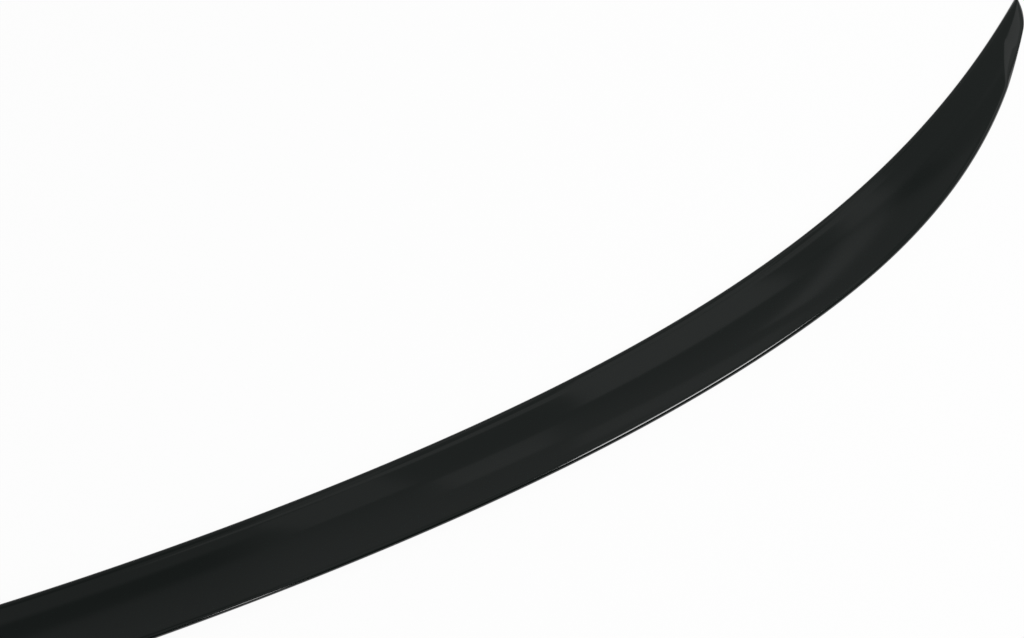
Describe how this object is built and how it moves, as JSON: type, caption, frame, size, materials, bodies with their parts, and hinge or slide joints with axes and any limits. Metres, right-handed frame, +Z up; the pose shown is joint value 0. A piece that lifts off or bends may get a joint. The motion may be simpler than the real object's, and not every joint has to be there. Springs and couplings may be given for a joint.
{
  "type": "car rear spoiler",
  "caption": "Slim gloss-black lip spoiler for a boot lid, bowed in plan, with a hollow rising top, overhanging trailing edge, swept blunt tips and a ribbed open underside",
  "frame": {"origin": "centre of the front bonding land on the underside, on the line of symmetry", "axes": "+X across the car to the right seen from behind, +Y forward towards the front of the car, +Z up away from the boot lid"},
  "size_m": [1.2022, 0.1979, 0.034],
  "materials": {
    "gloss_black_abs": "gloss"
  },
  "bodies": {
    "root": {"spoiler": "gloss_black_abs"}
  },
  "joints": []
}
